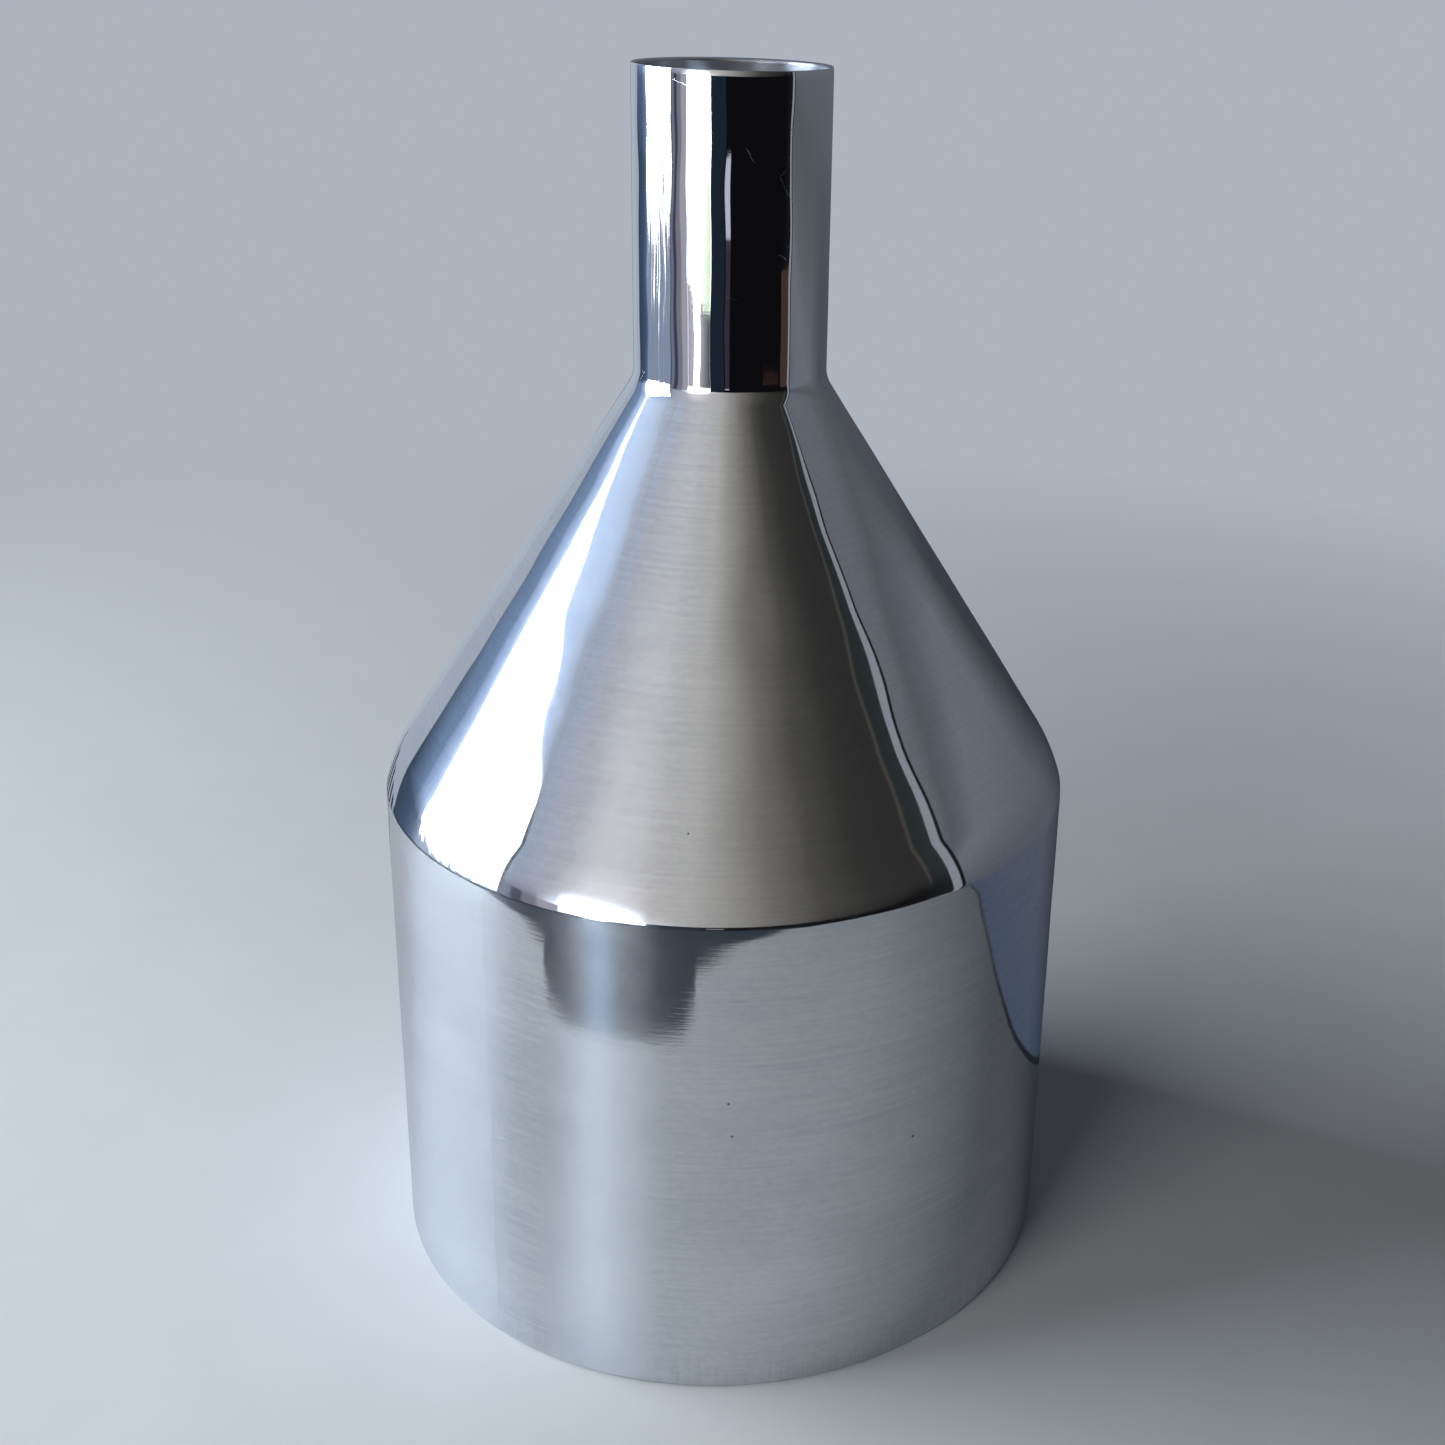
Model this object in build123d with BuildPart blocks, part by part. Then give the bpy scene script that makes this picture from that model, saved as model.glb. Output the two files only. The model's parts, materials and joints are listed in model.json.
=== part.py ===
from build123d import *
from math import cos, radians, sin, tan
import os

# A bottle-shaped canning funnel of polished sheet aluminium, standing on its wide mouth
# with the spout up. Millimetres, +Z up, origin at the centre of the mouth's resting plane.
# Three spun shells nest into each other in lap joints, flush on the outside.

# Driving dimensions
wall = 1.0  # sheet thickness
body_radius = 110.0  # outside of the cylindrical body
spout_radius = 29.45  # outside of the spout
shoulder_height = 159.5  # the crease between the body and the cone
overall_height = 381.5
cone_angle = 32.36  # the cone's side, in degrees from the axis
spout_root_radius = 10.0  # concave bend from the cone into the spout

# Shoulder: a slow bend at the top of the body, a tight crease, a slow bend at the cone's toe
body_top_turn = 3.4  # degrees
body_top_radius = 70.0
cone_toe_turn = 14.0
cone_toe_radius = 58.0
crease_radius = 4.5
crease_turn = cone_angle - body_top_turn - cone_toe_turn

# Hem that folds the mouth's edge inwards
hem_corner_radius = 1.2
hem_thickness = 3.0
hem_height = 8.0

# Lap joints
lap_length = 8.0
lap_gap = 0.15  # room for the solder
rim_rounding = 0.3

lap_step = wall + lap_gap


def bend(radius, start_angle, turn):
    """How far in and how far up a bend goes, from one slope off the axis to another."""
    first = radians(start_angle)
    last = radians(start_angle + turn)
    return radius * (cos(first) - cos(last)), radius * (sin(last) - sin(first))


# Where the sloping parts of the outer skin begin and end
body_top_in, body_top_up = bend(body_top_radius, 0, body_top_turn)
crease_in, crease_up = bend(crease_radius, body_top_turn, crease_turn)
toe_in, toe_up = bend(cone_toe_radius, body_top_turn + crease_turn, cone_toe_turn)
root_in, _ = bend(spout_root_radius, 0, cone_angle)

wall_top = shoulder_height - body_top_up - crease_up / 2
body_seam = (body_radius - body_top_in, wall_top + body_top_up)
toe_radius = body_seam[0] - crease_in - toe_in
toe_height = body_seam[1] + crease_up + toe_up
root_radius = spout_radius + root_in
root_height = toe_height + (toe_radius - root_radius) / tan(radians(cone_angle))


def along(angle):
    """Unit step up a line that leans in towards the axis by this angle."""
    return Vector(-sin(radians(angle)), cos(radians(angle)))


def inward(angle):
    """Unit step from that line into the shell, square to it."""
    return Vector(-cos(radians(angle)), -sin(radians(angle)))


# Body: hemmed mouth, straight wall, and a lip stepped in to pass under the cone's toe
lip_angle = body_top_turn + crease_turn + cone_toe_turn / 4
lip_root = Vector(*body_seam) + inward(body_top_turn) * lap_step
with BuildPart() as body:
    with BuildSketch(Plane.XZ):
        with BuildLine():
            hem_leg = Line(
                (body_radius - hem_thickness, hem_height),
                (body_radius - hem_thickness, hem_corner_radius),
            )
            inner_corner = JernArc(hem_leg @ 1, hem_leg % 1, hem_corner_radius, 90)
            hem_foot = Line(inner_corner @ 1, (body_radius - hem_corner_radius, 0))
            outer_corner = JernArc(hem_foot @ 1, hem_foot % 1, hem_corner_radius, 90)
            side = Line(outer_corner @ 1, (body_radius, wall_top))
            top_bend = JernArc(side @ 1, side % 1, body_top_radius, body_top_turn)
            ledge = Line(top_bend @ 1, lip_root)
            Line(ledge @ 1, lip_root + along(lip_angle) * lap_length)
            offset(amount=wall, side=Side.LEFT)
        make_face()
    revolve(axis=Axis.Z)
body.part.label = "body"

# Cone: a tight crease over the body's lip, a slow toe and a straight side
with BuildPart() as cone:
    with BuildSketch(Plane.XZ):
        with BuildLine():
            crease = JernArc(body_seam, along(body_top_turn), crease_radius, crease_turn)
            toe = JernArc(crease @ 1, crease % 1, cone_toe_radius, cone_toe_turn)
            Line(toe @ 1, (root_radius, root_height))
            offset(amount=wall, side=Side.LEFT)
        make_face()
    revolve(axis=Axis.Z)
cone.part.label = "cone"

# Spout: a straight tube whose foot flares to the cone's slope and tucks under its top edge
skirt_top = Vector(root_radius, root_height) + inward(cone_angle) * lap_step
with BuildPart() as spout:
    with BuildSketch(Plane.XZ):
        with BuildLine():
            skirt = Line(skirt_top - along(cone_angle) * lap_length, skirt_top)
            step = Line(skirt @ 1, (root_radius, root_height))
            root = JernArc(step @ 1, along(cone_angle), spout_root_radius, -cone_angle)
            Line(root @ 1, (spout_radius, overall_height))
            offset(amount=wall, side=Side.LEFT)
        make_face()
    revolve(axis=Axis.Z)
    rim_edges = spout.edges().filter_by(GeomType.CIRCLE).group_by(Axis.Z)[-1]
    fillet(rim_edges, rim_rounding)
spout.part.label = "spout"

os.makedirs("parts", exist_ok=True)
export_step(body.part, "parts/body.step")
export_step(cone.part, "parts/cone.step")
export_step(spout.part, "parts/spout.step")
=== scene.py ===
"""Looks of the canning funnel: three spun aluminium shells, a plain pale floor and soft window light."""

import json
from math import ceil, copysign, cos, pi, radians, sin, tan

import bpy
from mathutils import Matrix, Vector, noise


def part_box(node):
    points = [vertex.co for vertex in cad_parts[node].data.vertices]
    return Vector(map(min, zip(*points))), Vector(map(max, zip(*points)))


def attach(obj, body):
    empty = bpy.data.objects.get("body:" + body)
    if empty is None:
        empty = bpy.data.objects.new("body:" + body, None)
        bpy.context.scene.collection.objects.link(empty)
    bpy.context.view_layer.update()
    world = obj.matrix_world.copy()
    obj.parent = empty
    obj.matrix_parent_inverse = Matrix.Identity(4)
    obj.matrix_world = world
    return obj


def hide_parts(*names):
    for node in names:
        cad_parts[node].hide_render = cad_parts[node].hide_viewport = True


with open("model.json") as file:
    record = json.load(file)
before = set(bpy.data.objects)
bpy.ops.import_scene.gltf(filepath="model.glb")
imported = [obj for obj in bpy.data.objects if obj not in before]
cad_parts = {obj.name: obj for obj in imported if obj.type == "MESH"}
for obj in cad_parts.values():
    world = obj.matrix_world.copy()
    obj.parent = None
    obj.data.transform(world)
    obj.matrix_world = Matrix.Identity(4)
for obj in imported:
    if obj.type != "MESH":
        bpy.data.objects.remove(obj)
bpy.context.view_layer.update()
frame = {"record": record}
mounts = {mount["name"]: mount for mount in frame["record"]["mounts"]}

MM = 0.001

# Sizes of the shells in metres, and turns in degrees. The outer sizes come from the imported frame.
BODY_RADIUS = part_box("body")[1].x
SPOUT_RADIUS = mounts["spout_outside"]["dims"]["r_mm"] * MM
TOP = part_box("spout")[1].z
WALL = SPOUT_RADIUS - mounts["spout_bore"]["dims"]["r_mm"] * MM
SHOULDER_HEIGHT = 159.5 * MM
CONE_ANGLE = 32.36  # degrees from the axis
ROOT_BEND = 10 * MM
BODY_TOP_BEND = 70 * MM
BODY_TOP_TURN = 3.4
TOE_BEND = 58 * MM
TOE_TURN = 14.0
CREASE_BEND = 4.5 * MM
CREASE_TURN = CONE_ANGLE - BODY_TOP_TURN - TOE_TURN
HEM_CORNER = 1.2 * MM
HEM_THICKNESS = 3 * MM
HEM_HEIGHT = 8 * MM
LAP_LENGTH = 8 * MM
LAP_STEP = WALL + 0.15 * MM
RIM_ROUNDING = 0.3 * MM
RIM_TUCK_LENGTH = 2.4 * MM  # the rim's edge is dressed in slightly
RIM_TUCK_TURN = 6.0
RIM_TURN = 60  # of the rounding over the edge

# Layers of unevenness in the spun sheet: depth at the body's radius, cells to that radius round the
# axis, cells to a metre up it, and where in the noise the layer is taken
DENTS = (0.09 * MM, 2.3, 16, (0, 0))
RIPPLES = (0.09 * MM, 2.0, 48, (9, 0))
RINGS = (0.02 * MM, 0.7, 60, (5, 0))
WAVES = (0.36 * MM, 4.5, 60, (0, 7))
TRUE_LENGTH = 15 * MM  # the sheet runs true this near the floor and the rim

SEGMENTS = 400  # round the axis
FINE_STEP = 0.9 * MM  # between rings on the straight parts of the cone and the spout
BODY_STEP = 1.6 * MM
HIDDEN_STEP = 2 * MM
BEND_STEP = 3.0  # degrees between rings on a bend
INNER_STRIDE = 3  # the inner skins keep one ring in so many


# --- The shells -------------------------------------------------------------------------------


class Skin:
    """The outer line of a shell's section, drawn step by step from its lower end.

    Each point is (radius, height, corner). The line leans in towards the axis by `lean` degrees.
    """

    def __init__(self, radius, height, lean):
        self.points = [(radius, height, True)]
        self.lean = lean

    def direction(self, turned=0):
        angle = radians(self.lean + turned)
        return Vector((-sin(angle), cos(angle)))

    @property
    def end(self):
        return Vector(self.points[-1][:2])

    def add(self, point, corner=False):
        self.points.append((point.x, point.y, corner))

    def line(self, length, step=FINE_STEP, corner=False):
        start = self.end
        count = max(1, round(length / step))
        for i in range(1, count + 1):
            self.add(start + self.direction() * (length * i / count), corner and i == count)
        return self

    def bend(self, radius, turn):
        """An arc that goes on from the line, turning in by `turn` degrees, or out if it is negative."""
        side = copysign(radius, turn)
        centre = self.end + self.direction(90) * side
        start = self.lean
        count = max(3, round(abs(turn) / BEND_STEP), round(abs(radians(turn)) * radius / FINE_STEP))
        for i in range(1, count + 1):
            self.lean = start + turn * i / count
            self.add(centre - self.direction(90) * side)
        return self

    def ledge(self, depth, lean):
        """A square step into the shell, after which the line leans in by `lean` degrees."""
        radius, height, _ = self.points[-1]
        self.points[-1] = (radius, height, True)
        self.add(self.end + self.direction(90) * depth, corner=True)
        self.lean = lean
        return self


def unit_normal(a, b):
    """Square to the line from a to b, pointing into the shell."""
    along = (b - a).normalized()
    return Vector((-along.y, along.x))


def inner_skin(points, thickness):
    """The same line moved into the shell, with mitred corners."""
    places = [Vector(p[:2]) for p in points]
    moved = []
    for i, place in enumerate(places):
        before = unit_normal(places[i - 1], place) if i else unit_normal(place, places[1])
        after = unit_normal(place, places[i + 1]) if i + 1 < len(places) else before
        mitre = (before + after) / (1 + before.dot(after))
        moved.append((*(place + mitre * thickness), points[i][2]))
    return moved


def thinned(points, keep_every):
    """Fewer rings on an inner skin, which needs no fine ripples. Corners and ends stay."""
    last = len(points) - 1
    return [p for i, p in enumerate(points) if p[2] or i in (0, last) or i % keep_every == 0]


def layer(angle, height, depth, round_axis, up_axis, start):
    """One layer of unevenness, in metres."""
    place = Vector((cos(angle), sin(angle), 0))
    return depth * noise.noise(place * round_axis + Vector((*start, height * up_axis)))


def unevenness(angle, radius, height):
    """How far the spun sheet stands in or out there, in metres.

    The waves are strongest at half the body's radius, and the cylindrical wall has next to none.
    """
    share = radius / BODY_RADIUS
    wave_share = 4 * share * max(0, 1 - share)
    whole = sum(layer(angle, height, *kind) for kind in (DENTS, RIPPLES, RINGS))
    whole += layer(angle, height, *WAVES) * wave_share
    fade = min(1, height / TRUE_LENGTH, max(0, TOP - height) / TRUE_LENGTH)
    return whole * fade * share


def sharpen_corners(mesh, section):
    """Makes the edges round each corner ring sharp."""
    ends = [0] * (2 * len(mesh.edges))
    mesh.edges.foreach_get("vertices", ends)
    rings = [vertex // SEGMENTS for vertex in ends]
    values = [a == b and section[a][2] for a, b in zip(rings[::2], rings[1::2])]
    mesh.attributes.new("sharp_edge", "BOOLEAN", "EDGE").data.foreach_set("value", values)


def lathe(name, section, inner_from):
    """Turns a closed section round the axis. Faces from ring `inner_from` on take the second material."""
    rings = len(section)
    vertices = []
    for radius, height, _ in section:
        for k in range(SEGMENTS):
            angle = 2 * pi * k / SEGMENTS
            uneven = radius + unevenness(angle, radius, height)
            vertices.append((uneven * cos(angle), uneven * sin(angle), height))
    faces = []
    for i in range(rings):
        j = (i + 1) % rings
        for k in range(SEGMENTS):
            m = (k + 1) % SEGMENTS
            faces.append((i * SEGMENTS + k, i * SEGMENTS + m, j * SEGMENTS + m, j * SEGMENTS + k))
    mesh = bpy.data.meshes.new(name)
    mesh.from_pydata(vertices, [], faces)
    mesh.polygons.foreach_set("use_smooth", [True] * len(faces))
    mesh.polygons.foreach_set(
        "material_index", [int(f // SEGMENTS >= inner_from) for f in range(len(faces))]
    )
    sharpen_corners(mesh, section)
    mesh.validate()
    piece = bpy.data.objects.new(name, mesh)
    bpy.context.scene.collection.objects.link(piece)
    return piece


def shell(name, skin, outside, inside):
    """Makes one piece from its outer skin, on the only body."""
    inner = thinned(inner_skin(skin.points, WALL), INNER_STRIDE)
    section = skin.points + inner[::-1]
    piece = lathe(name, section, len(skin.points))
    piece.data.materials.append(outside)
    piece.data.materials.append(inside)
    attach(piece, "root")
    return piece


def bend_reach(radius, start, turn):
    """How far in and how far up a bend goes."""
    first, last = radians(start), radians(start + turn)
    return radius * (cos(first) - cos(last)), radius * (sin(last) - sin(first))


body_top_in, body_top_up = bend_reach(BODY_TOP_BEND, 0, BODY_TOP_TURN)
crease_in, crease_up = bend_reach(CREASE_BEND, BODY_TOP_TURN, CREASE_TURN)
toe_in, toe_up = bend_reach(TOE_BEND, BODY_TOP_TURN + CREASE_TURN, TOE_TURN)
root_in, _ = bend_reach(ROOT_BEND, 0, CONE_ANGLE)
WALL_TOP = SHOULDER_HEIGHT - body_top_up - crease_up / 2
SEAM = (BODY_RADIUS - body_top_in, WALL_TOP + body_top_up)
TOE = (SEAM[0] - crease_in - toe_in, SEAM[1] + crease_up + toe_up)
ROOT_RADIUS = SPOUT_RADIUS + root_in
ROOT_HEIGHT = TOE[1] + (TOE[0] - ROOT_RADIUS) / tan(radians(CONE_ANGLE))


def body_skin():
    """Down inside the hem, round the mouth's edge, up the wall and in under the cone."""
    skin = Skin(BODY_RADIUS - HEM_THICKNESS, HEM_HEIGHT, -180)
    skin.line(HEM_HEIGHT - HEM_CORNER, step=HIDDEN_STEP).bend(HEM_CORNER, 90)
    skin.line(HEM_THICKNESS - 2 * HEM_CORNER).bend(HEM_CORNER, 90)
    skin.line(WALL_TOP - HEM_CORNER, step=BODY_STEP).bend(BODY_TOP_BEND, BODY_TOP_TURN)
    under_cone = BODY_TOP_TURN + CREASE_TURN + TOE_TURN / 4
    skin.ledge(LAP_STEP, under_cone)
    return skin.line(LAP_LENGTH, step=HIDDEN_STEP, corner=True)


def cone_skin():
    """From the seam over the crease and the slow toe, then straight up to the spout's root."""
    skin = Skin(*SEAM, BODY_TOP_TURN)
    skin.bend(CREASE_BEND, CREASE_TURN).bend(TOE_BEND, TOE_TURN)
    return skin.line((TOE[0] - ROOT_RADIUS) / sin(radians(CONE_ANGLE)), corner=True)


def spout_skin():
    """Up the skirt under the cone, out to the cone's surface, round the root bend and up to the rim."""
    under = Skin(ROOT_RADIUS, ROOT_HEIGHT, CONE_ANGLE)
    top_of_skirt = under.end + under.direction(90) * LAP_STEP
    start = top_of_skirt - under.direction() * LAP_LENGTH
    skin = Skin(start.x, start.y, CONE_ANGLE)
    skin.line(LAP_LENGTH, step=HIDDEN_STEP, corner=True)
    skin.add(Vector((ROOT_RADIUS, ROOT_HEIGHT)), corner=True)
    skin.bend(ROOT_BEND, -CONE_ANGLE)
    tuck_bend = RIM_TUCK_LENGTH / radians(RIM_TUCK_TURN)
    straight = TOP - RIM_TUCK_LENGTH - RIM_ROUNDING - skin.end.y
    skin.line(straight).bend(tuck_bend, RIM_TUCK_TURN)
    return skin.bend(RIM_ROUNDING, RIM_TURN)


# --- Materials --------------------------------------------------------------------------------


class Nodes:
    """A material's node tree, with short ways to add and link nodes."""

    def __init__(self, name):
        self.material = bpy.data.materials.new(name)
        self.material.use_nodes = True
        self.tree = self.material.node_tree
        self.tree.nodes.clear()
        self.output = self.add("OutputMaterial")

    def add(self, kind, **inputs):
        node = self.tree.nodes.new("ShaderNode" + kind)
        for key, value in inputs.items():
            self.set(node.inputs[key.replace("_", " ")], value)
        return node

    def set(self, socket, value):
        if isinstance(value, bpy.types.NodeSocket):
            self.tree.links.new(value, socket)
        else:
            socket.default_value = value

    def fill(self, node, *values):
        """Sets the node's inputs in their order, and returns its first output."""
        for socket, value in zip(node.inputs, values):
            self.set(socket, value)
        return node.outputs[0]

    def math(self, operation, first, second=0.0):
        node = self.add("Math")
        node.operation = operation
        return self.fill(node, first, second)

    def weighted(self, *terms):
        """The sum of (weight, value) terms."""
        total = 0.0
        for weight, value in terms:
            total = self.math("ADD", self.math("MULTIPLY", value, weight), total)
        return total

    def place(self):
        return self.add("TexCoord").outputs["Object"]

    def noise(self, across, up, detail=2.0, roughness=0.5):
        """Noise of so many cells to a metre across and up, so marks can run round the axis or along it."""
        scaled = self.add("Mapping", Vector=self.place(), Scale=(across, across, up)).outputs[0]
        node = self.add("TexNoise", Vector=scaled, Scale=1.0, Detail=detail, Roughness=roughness)
        return node.outputs["Fac"]

    def remap(self, value, low, high, to_low=0.0, to_high=1.0):
        """The value carried from one range over to another, and held at its ends."""
        return self.fill(self.add("MapRange"), value, low, high, to_low, to_high)

    def tint(self, factor, low, high):
        """A colour between two, by the factor."""
        node = self.add("Mix")
        node.data_type = "RGBA"
        self.set(node.inputs[0], factor)
        for socket, colour in zip(node.inputs[6:8], (low, high)):
            self.set(socket, colour if isinstance(colour, bpy.types.NodeSocket) else (*colour, 1))
        return node.outputs[2]

    def bump(self, height, depth):
        return self.add("Bump", Height=height, Strength=1.0, Distance=depth).outputs[0]

    def hairlines(self, scale, width, share):
        """1 on short thin lines, as of light scratches, and 0 elsewhere."""
        shift = self.add("TexNoise", Vector=self.place(), Scale=scale, Detail=1.0).outputs["Color"]
        sway = 0.6 / scale
        bent = self.add("VectorMath")
        bent.operation = "MULTIPLY_ADD"
        moved = self.fill(bent, shift, (sway,) * 3, self.place())
        cell = self.add("TexVoronoi", Vector=moved, Scale=scale)
        cell.feature = "DISTANCE_TO_EDGE"
        line = self.remap(cell.outputs["Distance"], width * scale * 0.5, width * scale, 1, 0)
        patch_edge = 0.03
        patches = self.noise(across=scale * 1.3, up=scale, detail=0.0)
        patch = self.remap(patches, 1 - share, 1 - share + patch_edge)
        return self.math("MULTIPLY", line, patch)

    def specks(self, scale, radius, share):
        """1 on small dark pits, one or none to a cell, and 0 elsewhere."""
        cell = self.add("TexVoronoi", Vector=self.place(), Scale=scale)
        core = radius * 0.6
        spot = self.remap(cell.outputs["Distance"], core * scale, radius * scale, 1, 0)
        chosen = self.add("SeparateColor", Color=cell.outputs["Color"]).outputs[0]
        return self.math("MULTIPLY", spot, self.math("LESS_THAN", chosen, share))

    def tangent(self):
        node = self.add("Tangent")
        node.direction_type = "RADIAL"
        node.axis = "Z"
        return node.outputs[0]

    def metal(self, colour, roughness, normal, anisotropic):
        """Its highlights are drawn out along the axis, as on sheet brushed round it."""
        return self.add(
            "BsdfPrincipled",
            Base_Color=colour,
            Metallic=1.0,
            Roughness=roughness,
            Normal=normal,
            Anisotropic=anisotropic,
            Anisotropic_Rotation=0.25,
            Tangent=self.tangent(),
        ).outputs[0]

    def mixed(self, factor, first, second):
        return self.fill(self.add("MixShader"), factor, first, second)

    def finish(self, shader):
        self.tree.links.new(shader, self.output.inputs["Surface"])
        return self.material

    def glow(self, colour, strength=1.0):
        """Finishes the material as a plain glow."""
        return self.finish(self.add("Emission", Color=colour, Strength=strength).outputs[0])


def polished():
    """The spout's mirror polish, with a few hairline scratches."""
    n = Nodes("polished")
    streaks = n.noise(across=30, up=700, detail=3)
    scratches = n.hairlines(scale=80, width=0.12 * MM, share=0.27)
    colour = n.tint(n.noise(across=40, up=25), (0.84, 0.85, 0.87), (0.90, 0.90, 0.91))
    polish = n.remap(streaks, 0.3, 0.7, 0.02, 0.045)
    roughness = n.math("MAXIMUM", polish, n.math("MULTIPLY", scratches, 0.3))
    normal = n.bump(streaks, depth=0.002 * MM)
    return n.finish(n.metal(colour, roughness, normal, anisotropic=0.3))


def brushed_metal(name, dark, light, core, haze, haze_share, depth):
    """A sharp reflection under a haze that the brushing draws out along the axis.

    The brushing shows as fine lines round the axis, over cloudy patches and a fine grain, with short
    upright marks next to the floor and a few dark pits. `core` and `haze` are the roughness of the
    two reflections, and `depth` is the brushing's, in metres.
    """
    n = Nodes(name)
    lines = n.noise(across=18, up=1300, detail=4, roughness=0.65)
    clouds = n.noise(across=16, up=40, detail=5, roughness=0.65)
    grain = n.noise(across=420, up=700, detail=2, roughness=0.6)
    height = n.add("SeparateXYZ", Vector=n.place()).outputs[2]
    upright = n.remap(n.noise(across=900, up=50), 0.45, 0.65)
    marks = n.math("MULTIPLY", upright, n.remap(height, 4 * MM, 16 * MM, 1, 0))
    shade = n.weighted((0.35, lines), (0.4, clouds), (0.25, grain), (-0.1, marks))
    metal = n.tint(n.remap(shade, 0.37, 0.63), dark, light)
    pits = n.specks(scale=75, radius=0.55 * MM, share=0.3)
    colour = n.tint(pits, metal, (0.10, 0.10, 0.11))
    normal = n.bump(n.weighted((0.6, lines), (0.4, grain)), depth)
    roughness = n.remap(clouds, 0.35, 0.65, core * 0.8, core * 1.25)
    sharp = n.metal(colour, roughness, normal, anisotropic=0.6)
    broad = n.metal(colour, haze, normal, anisotropic=0.93)
    return n.finish(n.mixed(haze_share, sharp, broad))


# --- Floor, light and cards -------------------------------------------------------------------

# The cards stand round the object as walls, windows and a ceiling would. Only its reflections see
# them. Most of them glow: a painted reflection of a room, with its light and shade painted in; the
# table card is lit instead. Places are in body radii: along the wall close behind the object, and
# towards that wall from the object's axis.
UNIT = BODY_RADIUS
WALL_TURN = radians(29.2)
ALONG = Vector((cos(WALL_TURN), -sin(WALL_TURN), 0))
BEHIND = Vector((sin(WALL_TURN), cos(WALL_TURN), 0))
WALL_BEHIND = 1.1
# The table's front edge from left to right. Something dark reaches in over its middle.
TABLE_FRONT = (
    (-4.1, -2.9), (-1.22, -2.93), (-1.16, -2.76), (-1.0, -2.64), (-0.6, -2.62), (0.1, -2.7),
    (0.85, -2.67), (1.05, -2.75), (1.14, -2.93), (9.5, -3.0),
)
FAR = 30  # how far off the windows and the rest of the room are
NEARER = FAR - 0.3  # for cards that cover a part of those
FARTHER = FAR + 1  # for cards that close the room behind them
DEEP, FOOT, CROWN = -40, -6, 120  # heights of the far cards
LINTEL_TOP = 24
CARD_STEP = 4  # degrees

BACKDROP = (0.42, 0.46, 0.52)
AMBIENT = (0.075, 0.08, 0.09)
BLACK = (0.004, 0.004, 0.005)
NEAR_BLACK = (0.02, 0.022, 0.024)
NAVY = (0.011, 0.019, 0.031)
DARK_BLUE = (0.05, 0.055, 0.085)
DIM_BLUE = (0.16, 0.18, 0.25)
DIM_GREY = (0.16, 0.18, 0.21)
MAUVE = (0.19, 0.19, 0.235)
PINKISH = (0.36, 0.35, 0.42)
DAYLIGHT = (11.5, 13.2, 15.7)
SUNLIGHT = (19.0, 21.2, 23.6)
HAZY_LIGHT = (5.0, 5.6, 6.4)

# Colours of the room round the object, as (azimuth, colour)
FRONT = (
    (-72, DIM_BLUE), (-69, DIM_BLUE), (-68, DARK_BLUE), (-65, DARK_BLUE), (-64, MAUVE), (-60, MAUVE),
    (-58, PINKISH), (-51.2, PINKISH), (-51, HAZY_LIGHT), (-47, HAZY_LIGHT), (-45, SUNLIGHT),
    (-24.2, SUNLIGHT), (-24, NAVY), (-7.2, NAVY), (-7, BLACK), (62, BLACK), (90, NEAR_BLACK),
)
CEILING_MIDDLE = ((-12, (0.44, 0.44, 0.43)), (0, (0.31, 0.305, 0.295)), (14, (0.165, 0.16, 0.152)))
CEILING_RIGHT = (
    (30, (0.07, 0.068, 0.064)), (45, (0.034, 0.034, 0.032)), (62, (0.025, 0.025, 0.024)),
    (65.5, (0.028, 0.026, 0.025)), (66.3, (0.075, 0.07, 0.065)), (67.5, (0.018, 0.024, 0.024)),
    (90, (0.03, 0.037, 0.037)),
)
CEILING = (
    (-118, (0.42, 0.50, 0.64)), (-80, (0.42, 0.49, 0.62)), (-60, (0.44, 0.46, 0.52)),
    (-35, (0.50, 0.50, 0.52)), *CEILING_MIDDLE, *CEILING_RIGHT,
)
# The same near the second window, which lights the ceiling, and just over its head
LIT_CEILING = (
    (-72, (0.28, 0.33, 0.44)), (-64, (0.38, 0.42, 0.52)), (-56, (0.45, 0.46, 0.52)),
    (-44, (0.74, 0.73, 0.78)), (-33, (0.72, 0.71, 0.73)), (-24, (0.52, 0.51, 0.51)),
    *CEILING_MIDDLE, *CEILING_RIGHT,
)
OVER_WINDOW = (
    (-72, DIM_BLUE), (-60, (0.26, 0.26, 0.31)), (-53, (1.1, 1.2, 1.4)), (-46, DAYLIGHT),
    (-37, DAYLIGHT), (-24, (0.9, 0.92, 0.95)), *CEILING_MIDDLE, (30, (0.04, 0.039, 0.037)),
    (62, BLACK), (90, NEAR_BLACK),
)


def room(along, behind, height):
    """A place in the room, in metres, from body radii."""
    return (ALONG * along + BEHIND * behind + Vector((0, 0, height))) * UNIT


def around(azimuth, distance, height):
    """A place by its azimuth in degrees, 0 towards the camera and 90 to the right."""
    angle = radians(azimuth)
    return Vector((sin(angle) * distance, -cos(angle) * distance, height)) * UNIT


def strip(name, lower, upper, material):
    """Faces between two rows of places, with U along the rows and V from one to the other."""
    count = len(lower) - 1
    mesh = bpy.data.meshes.new(name)
    faces = [(i, i + 1, count + 2 + i, count + 1 + i) for i in range(count)]
    mesh.from_pydata([*lower, *upper], [], faces)
    for loop, uv in zip(mesh.loops, mesh.uv_layers.new(name="UVMap").data):
        row, column = divmod(loop.vertex_index, count + 1)
        uv.uv = (column / count, row)
    mesh.materials.append(material)
    thing = bpy.data.objects.new(name, mesh)
    bpy.context.scene.collection.objects.link(thing)
    return thing


def card(name, lower, upper, material):
    """A strip that only reflections see."""
    thing = strip("card_" + name, lower, upper, material)
    for ray in ("camera", "diffuse", "transmission", "volume_scatter", "shadow"):
        setattr(thing, "visible_" + ray, False)


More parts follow.
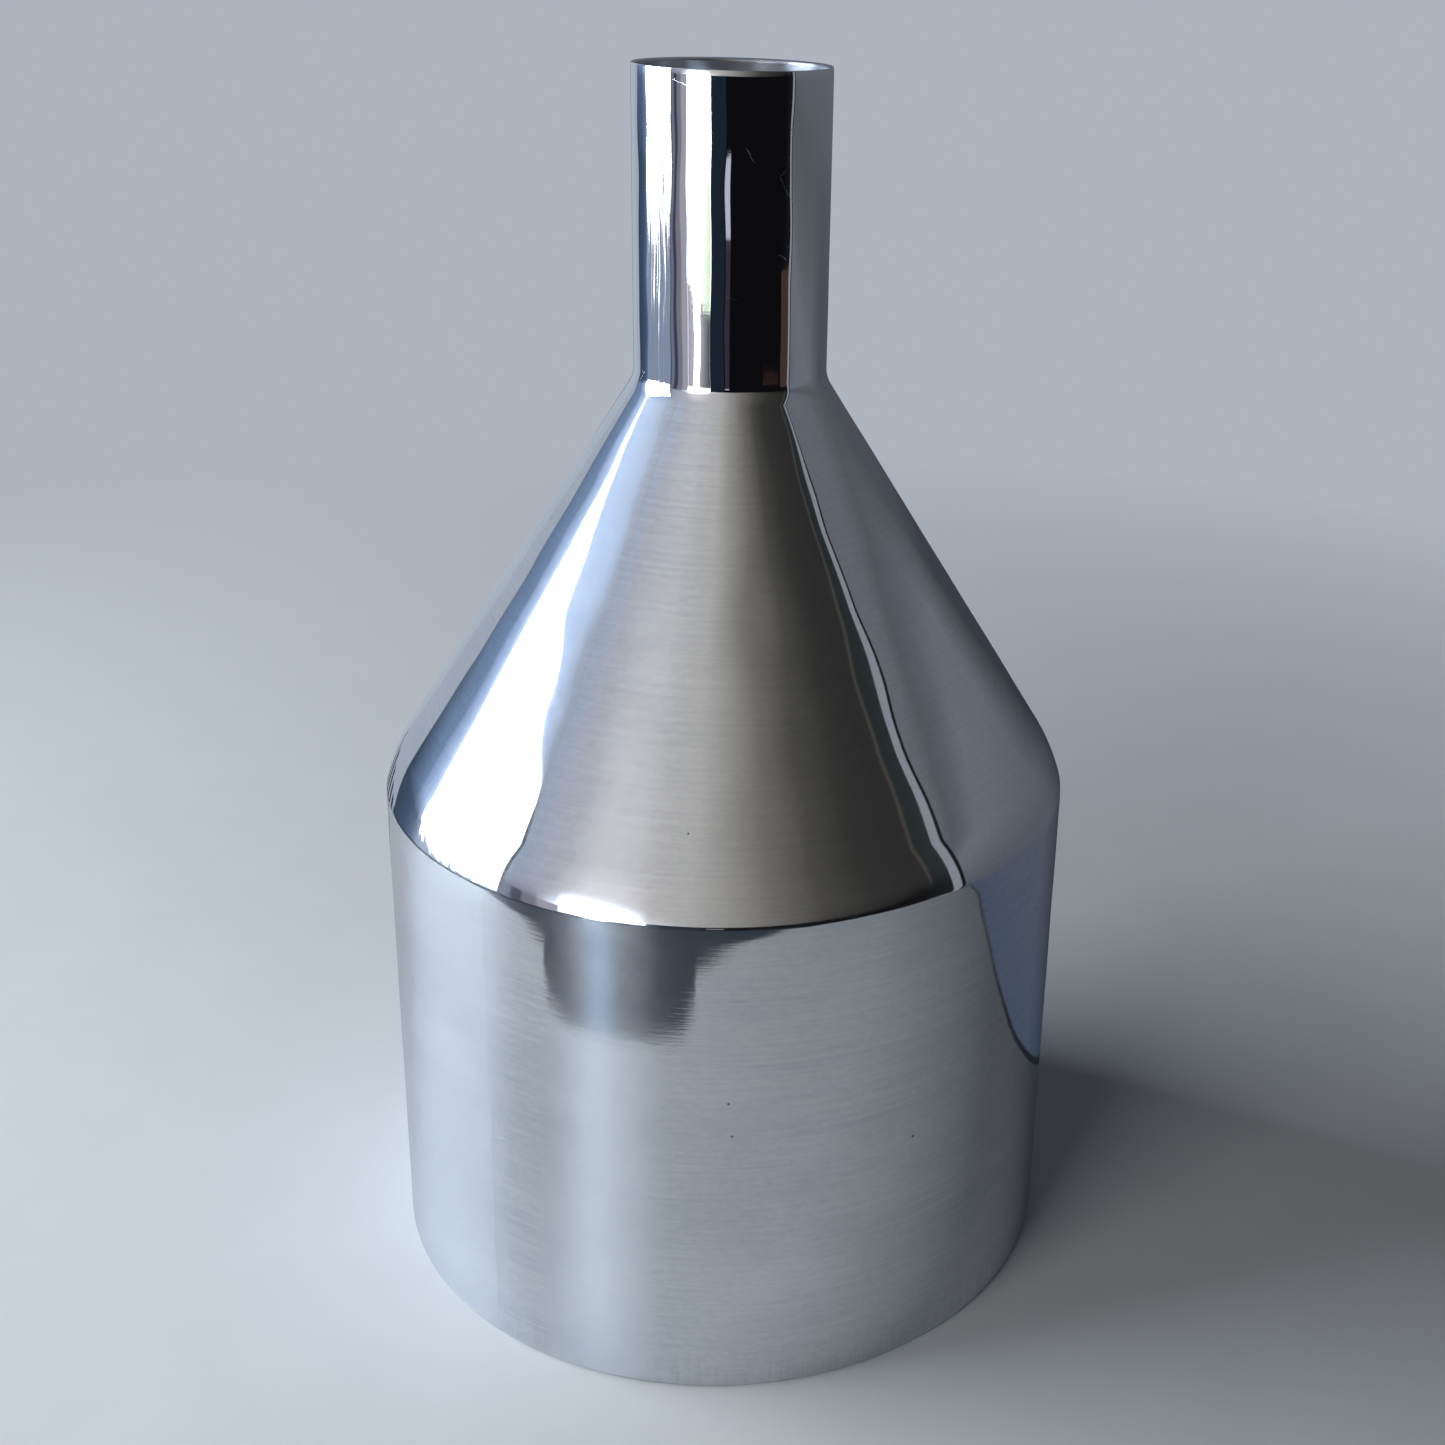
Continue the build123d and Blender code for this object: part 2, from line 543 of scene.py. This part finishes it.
def wall_card(name, alongs, heights, material, behind=WALL_BEHIND):
    lower, upper = ([room(along, behind, height) for along in alongs] for height in heights)
    card(name, lower, upper, material)


def ring_card(name, azimuths, heights, material, distance=FAR):
    """A curved card round the object, between two azimuths and two heights."""
    first, last = azimuths
    count = ceil((last - first) / CARD_STEP)
    turns = [first + (last - first) * i / count for i in range(count + 1)]
    lower, upper = ([around(turn, distance, height) for turn in turns] for height in heights)
    card(name, lower, upper, material)


def glow(name, colour):
    return Nodes(name).glow((*colour, 1))


def ramp(n, value, ends, stops):
    """A colour that goes through the stops, (place, colour), as the value goes from 0 to 1.

    The value is 0 at the first of the ends and 1 at the last, in the measure of the stops' places.
    Places past an end are moved to it.
    """
    low, high = ends
    node = n.add("ValToRGB", Fac=value)
    elements = node.color_ramp.elements
    while len(elements) < len(stops):
        elements.new(0.5)
    for element, (place, colour) in zip(elements, stops):
        element.position = (place - low) / (high - low)
        element.color = (*colour, 1)
    return node.outputs[0]


def card_measures(n):
    """How far along a card, and how far up it, from 0 to 1."""
    return n.add("SeparateXYZ", Vector=n.add("TexCoord").outputs["UV"]).outputs[:2]


def ramp_glow(name, ends, stops):
    """A glow that changes along a card. The stops' places are in the measure of its ends."""
    n = Nodes(name)
    return n.glow(ramp(n, card_measures(n)[0], ends, stops))


def blend_glow(name, ends, foot, head, speed=1.0):
    """A glow whose colours along the card go over from those at its foot to those at its head.

    With more speed, most of the change is near the foot.
    """
    n = Nodes(name)
    along, up = card_measures(n)
    left = n.math("POWER", n.math("SUBTRACT", 1.0, up), speed)
    return n.glow(n.tint(left, ramp(n, along, ends, head), ramp(n, along, ends, foot)))


def streaked_glow(name, lines, shade, bright_from, bright_to):
    """Daylight through upright folds, as of thin curtains, with fewer bright ones lower down."""
    n = Nodes(name)
    stretch = (lines, 1.2, 1)
    scaled = n.add("Mapping", Vector=n.add("TexCoord").outputs["UV"], Scale=stretch).outputs[0]
    fold = n.add("TexNoise", Vector=scaled, Scale=1.0, Detail=4.0, Roughness=0.65).outputs["Fac"]
    level = n.math("ADD", fold, n.remap(card_measures(n)[1], 0, 1, bright_from, bright_to))
    levels = (0.46, 0.66)
    stops = (
        (levels[0], shade), (0.51, shade), (0.54, (0.75, 0.8, 0.84)), (0.57, (1.0, 1.04, 1.08)),
        (levels[1], DAYLIGHT),
    )
    return n.glow(ramp(n, n.remap(level, *levels), levels, stops))


def wall_glow(ends, top, shades, corner):
    """The shaded wall's glow by height, in painted shade, with the object's shadow painted on it low down
    close behind the object.
    """
    n = Nodes("wall_right")
    limits = (ends, (0, top))
    along, up = (n.remap(share, 0, 1, *limit) for share, limit in zip(card_measures(n), limits))
    # corner: where the object's painted shadow falls on the wall, and the share of glow left in it
    nearness = n.remap(along, *corner["along"], 1, 0)
    lowness = n.remap(up, *corner["height"], 1, 0)
    strength = n.remap(n.math("MULTIPLY", nearness, lowness), 0, 1, 1, corner["left"])
    return n.glow(ramp(n, card_measures(n)[1], (0, top), shades), strength)


def reach(stops):
    """From the first of the stops to the last."""
    return stops[0][0], stops[-1][0]


def plain_ring(name, azimuths, heights, colour, distance=FAR):
    """A curved card of one colour."""
    ring_card(name, azimuths, heights, glow(name, colour), distance)


def shaded_ring(name, azimuths, heights, stops, distance=FAR):
    """A curved card whose colour changes along it. The stops' places are azimuths."""
    ring_card(name, azimuths, heights, ramp_glow(name, azimuths, stops), distance)


def make_wall_cards():
    """The wall close behind, pale at left and in painted shade at right, where it ends in a light trim."""
    left_end, middle, right_end, top = -3.0, -1.3, 5.1, 14
    line_width, line_height, trim_width = 0.4, 0.035, 1.3
    line_forward = 0.04  # how far the painted shadow line at the wall's foot stands in front of it
    shades = (
        (0, (0.065, 0.088, 0.13)), (1.3, (0.095, 0.108, 0.134)), (2.0, (0.145, 0.162, 0.192)),
        (2.3, (0.15, 0.166, 0.196)), (2.65, (0.112, 0.122, 0.142)), (3.0, (0.096, 0.104, 0.121)),
        (3.5, (0.13, 0.142, 0.166)), (4.2, (0.14, 0.153, 0.178)), (top, (0.12, 0.13, 0.15)),
    )
    # The object's shadow painted on the wall close behind it: where it falls, and the share of glow left
    # in it
    corner = {"along": (0.7, 1.3), "height": (2.1, 3.1), "left": 0.33}
    wall_card("wall_left", (left_end, middle), (0, top), glow("wall_left", (0.42, 0.48, 0.56)))
    shaded = wall_glow((middle, right_end), top, shades, corner)
    wall_card("wall_right", (middle, right_end), (0, top), shaded)
    # Black painted shadow lines: where the wall meets the table, and beside the trim, as shade cast by the
    # wall's edge.
    black = glow("wall_shadow_line", BLACK)
    wall_card("line_foot", (left_end, right_end), (0, line_height), black, WALL_BEHIND - line_forward)
    line_end = right_end + line_width
    wall_card("line_side", (right_end, line_end), (0, top), black)
    trim = glow("wall_trim", (0.25, 0.275, 0.31))
    wall_card("trim", (line_end, line_end + trim_width), (0, top), trim)


def make_curtain_cards(foot, top, wall_end, low_edge, edge):
    """A dark curtain, in shadow low down, from the wall's end to its own edge.

    Its shades go by the share of its width.
    """
    shadow_top, folds_foot = 0, 3.5
    ends = (0, 1)
    shadow = (
        (0, (0.035, 0.055, 0.09)), (0.6, (0.05, 0.085, 0.155)), (0.85, (0.09, 0.13, 0.22)),
        (1, (0.25, 0.33, 0.5)),
    )
    folds = (
        (0, (0.12, 0.18, 0.28)), (0.15, (0.15, 0.22, 0.35)), (0.6, (0.17, 0.26, 0.42)),
        (0.68, (0.28, 0.38, 0.62)), (0.86, (0.38, 0.52, 0.78)), (1, (0.7, 0.86, 1.15)),
    )
    low, high = (wall_end, low_edge), (wall_end, edge)
    ring_card("curtain_low", low, (foot, shadow_top), ramp_glow("curtain_low", ends, shadow))
    middle = blend_glow("curtain_middle", ends, shadow, folds)
    ring_card("curtain_middle", high, (shadow_top, folds_foot), middle)
    ring_card("curtain", high, (folds_foot, top), ramp_glow("curtain", ends, folds))


def make_left_cards():
    """Past the wall's left end: more pale wall, a dark curtain and a tall window."""
    wall_end, low_edge, edge, window_end = -134.5, -112.5, -113.5, -73.5
    foot, top = -15, 40
    sill_top, folds_top, window_top = -4.3, 0.6, 15.4
    plain_ring("pale", (-185, wall_end), (foot, top), (0.38, 0.43, 0.51))
    make_curtain_cards(foot, top, wall_end, low_edge, edge)
    blue = (0.24, 0.29, 0.40)
    low = (low_edge, window_end)
    plain_ring("sill", low, (FOOT, sill_top), blue)
    folds = streaked_glow("window_low", lines=16, shade=blue, bright_from=-0.13, bright_to=0.15)
    ring_card("window_low", low, (sill_top, folds_top), folds)
    plain_ring("window_left", (edge, window_end), (folds_top, window_top), DAYLIGHT)
    over = (edge, FRONT[0][0])
    sky = (0.42, 0.57, 0.84)
    surround = ((edge, sky), (-84, sky), (-76, (0.30, 0.36, 0.48)), LIT_CEILING[0])
    lintel = blend_glow("lintel", over, surround, CEILING[:3])
    ring_card("lintel", over, (window_top, LINTEL_TOP), lintel)


def make_front_cards():
    """Towards the camera: a pillar, a second window and a dark room to the right."""
    sill, head, cornice, far_ceiling = -2.4, 4, 10.5, 27
    front = reach(FRONT)
    shaded_ring("front", front, (FOOT, head), FRONT)
    over_window = blend_glow("over_front", front, OVER_WINDOW, LIT_CEILING, speed=3)
    ring_card("over_front", front, (head, cornice), over_window)
    lit_ceiling = blend_glow("lit_ceiling", front, LIT_CEILING, CEILING)
    ring_card("lit_ceiling", front, (cornice, far_ceiling), lit_ceiling)
    below_sill = (
        (-51.2, (0.40, 0.38, 0.44)), (-43.5, (0.52, 0.50, 0.54)), (-43, DAYLIGHT), (-36.5, DAYLIGHT),
        (-36, (0.48, 0.47, 0.48)), (-29, (0.20, 0.215, 0.24)), (-24, (0.05, 0.07, 0.1)),
    )
    garden = ((-34, (1.3, 1.35, 1.25)), (-24.2, (0.75, 1.0, 0.66)))
    shaded_ring("below_sill", reach(below_sill), (FOOT, sill), below_sill, NEARER)
    shaded_ring("garden", reach(garden), (sill, 0.1), garden, NEARER)
    line, line_foot = (-6, -1), -1.7
    plain_ring("line", line, (line_foot, -0.15), (0.5, 0.5, 0.6), NEARER)
    plain_ring("line_low", line, (FOOT, line_foot), (0.035, 0.03, 0.042), NEARER)
    plain_ring("door", (61, 71), (FOOT, -1.8), (0.055, 0.034, 0.028), NEARER)
    plain_ring("rug", (38, 58), (FOOT, -3.9), (0.022, 0.013, 0.012), NEARER)
    shaded_ring("ceiling", front, (far_ceiling, CROWN), CEILING)
    shaded_ring("ceiling_left", (CEILING[0][0], FRONT[0][0]), (LINTEL_TOP, CROWN), CEILING)


def make_other_cards():
    """The rest of the room: dark below the table, with a painted glint of window light, dim behind and
    above.
    """
    plain_ring("below", (-180, 180), (DEEP, FOOT), NAVY)
    # A painted glint: window light reflected off the floor below the table's edge.
    bright = (0.10, 0.15, 0.26)
    glint = ((-47, NAVY), (-42.5, bright), (-41, bright), (-35, NAVY))
    shaded_ring("glint", reach(glint), (DEEP, FOOT), glint, NEARER)
    plain_ring("behind", (90, 180), (FOOT, CROWN), DIM_GREY, FARTHER)
    plain_ring("behind_left", (-180, -118), (FOOT, CROWN), DIM_GREY, FARTHER)
    corners = ([room(along, behind, CROWN) for along in (-FAR, FAR)] for behind in (-FAR, FAR))
    card("top", *corners, glow("top", (0.2, 0.21, 0.22)))


def make_table_card():
    """The table as the object reflects it, lit as the floor is."""
    n = Nodes("table")
    lit = n.finish(n.add("BsdfDiffuse", Color=(0.385, 0.395, 0.41, 1)).outputs[0])
    lift = 0.001
    front = [room(along, behind, lift) for along, behind in TABLE_FRONT]
    back = [room(along, WALL_BEHIND, lift) for along, _ in TABLE_FRONT]
    card("table", front, back, lit)


def make_floor():
    """A plain pale floor, which fades into the backdrop. Reflections see the table card in its place."""
    fade_from, fade_to, side = 2.5 * UNIT, 9 * UNIT, 400
    n = Nodes("floor")
    far = n.add("VectorMath")
    far.operation = "LENGTH"
    n.fill(far, n.place())
    fade = n.remap(far.outputs["Value"], fade_from, fade_to)
    patches = n.noise(across=30, up=30, detail=4)
    colour = n.tint(patches, (0.50, 0.51, 0.525), (0.54, 0.55, 0.565))
    pale = n.add("BsdfPrincipled", Base_Color=colour, Roughness=0.6).outputs[0]
    backdrop = n.add("Emission", Color=(*BACKDROP, 1), Strength=1.0).outputs[0]
    material = n.finish(n.mixed(fade, pale, backdrop))
    rows = [[Vector((x, y, 0)) * UNIT for x in (-side, side)] for y in (-side, side)]
    strip("floor", *rows, material).visible_glossy = False


def make_world():
    """The backdrop's colour to the camera, and a dim even light to everything else."""
    world = bpy.data.worlds.new("studio")
    world.use_nodes = True
    bpy.context.scene.world = world
    nodes, links = world.node_tree.nodes, world.node_tree.links
    mix = nodes.new("ShaderNodeMix")
    mix.data_type = "RGBA"
    mix.inputs[6].default_value = (*AMBIENT, 1)
    mix.inputs[7].default_value = (*BACKDROP, 1)
    links.new(nodes.new("ShaderNodeLightPath").outputs["Is Camera Ray"], mix.inputs[0])
    links.new(mix.outputs[2], nodes["Background"].inputs["Color"])


def softbox(name, place, size, power, colour):
    """An area light aimed at the object's middle. Reflections see the cards in its place."""
    light = bpy.data.lights.new(name, "AREA")
    light.shape = "RECTANGLE"
    light.size, light.size_y = (side * UNIT for side in size)
    light.energy = power
    light.color = colour
    thing = bpy.data.objects.new(name, light)
    thing.location = place
    thing.rotation_mode = "QUATERNION"
    thing.rotation_quaternion = (Vector((0, 0, TOP / 2)) - place).to_track_quat("-Z", "Y")
    thing.visible_glossy = False
    thing.visible_camera = False
    bpy.context.scene.collection.objects.link(thing)


def make_lights():
    softbox("window_left", room(-13, -6, 5), size=(14, 8), power=60, colour=(0.88, 0.95, 1))
    softbox("window_front", around(-38, 13, 4), size=(7, 7), power=14, colour=(0.97, 1, 0.97))


# --- Camera -----------------------------------------------------------------------------------

CAMERA_BACK = 5.0421  # in body radii
CAMERA_UP = 3.785
CAMERA_TILT = 20.548  # degrees down
CAMERA_SWING = 4.078  # to the right
CAMERA_ROLL = 1.847
FOCAL_LENGTH = 45.69  # mm
SENSOR_WIDTH = 36
SHIFT = (-0.0889, -0.0667)  # in picture widths
CLIP = (0.01, 200)  # metres


def make_camera():
    data = bpy.data.cameras.new("camera")
    data.sensor_width = SENSOR_WIDTH
    data.lens = FOCAL_LENGTH
    data.shift_x, data.shift_y = SHIFT
    data.clip_start, data.clip_end = CLIP
    camera = bpy.data.objects.new("camera", data)
    turn = (
        Matrix.Rotation(radians(-CAMERA_SWING), 4, "Z")
        @ Matrix.Rotation(radians(90 - CAMERA_TILT), 4, "X")
        @ Matrix.Rotation(radians(CAMERA_ROLL), 4, "Z")
    )
    camera.matrix_world = Matrix.Translation(Vector((0, -CAMERA_BACK, CAMERA_UP)) * UNIT) @ turn
    bpy.context.scene.collection.objects.link(camera)
    bpy.context.scene.camera = camera


make_camera()
make_world()
make_floor()
make_lights()
make_table_card()
make_wall_cards()
make_left_cards()
make_front_cards()
make_other_cards()
bpy.context.scene.view_settings.view_transform = "Standard"

brushed = brushed_metal(
    "brushed", dark=(0.72, 0.74, 0.78), light=(0.94, 0.95, 0.97),
    core=0.06, haze=0.39, haze_share=0.16, depth=0.014 * MM,
)
satin = brushed_metal(
    "satin", dark=(0.80, 0.81, 0.83), light=(0.92, 0.92, 0.93),
    core=0.035, haze=0.37, haze_share=0.055, depth=0.004 * MM,
)
inside = brushed_metal(
    "inside", dark=(0.60, 0.61, 0.64), light=(0.76, 0.77, 0.79),
    core=0.22, haze=0.45, haze_share=0.3, depth=0.03 * MM,
)
bore = brushed_metal(
    "bore", dark=(0.66, 0.67, 0.70), light=(0.80, 0.81, 0.83),
    core=0.16, haze=0.50, haze_share=0.50, depth=0.01 * MM,
)
body = shell("body_shell", body_skin(), brushed, inside)
cone = shell("cone_shell", cone_skin(), satin, inside)
spout = shell("spout_shell", spout_skin(), polished(), bore)
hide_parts("body")
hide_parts("cone")
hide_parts("spout")
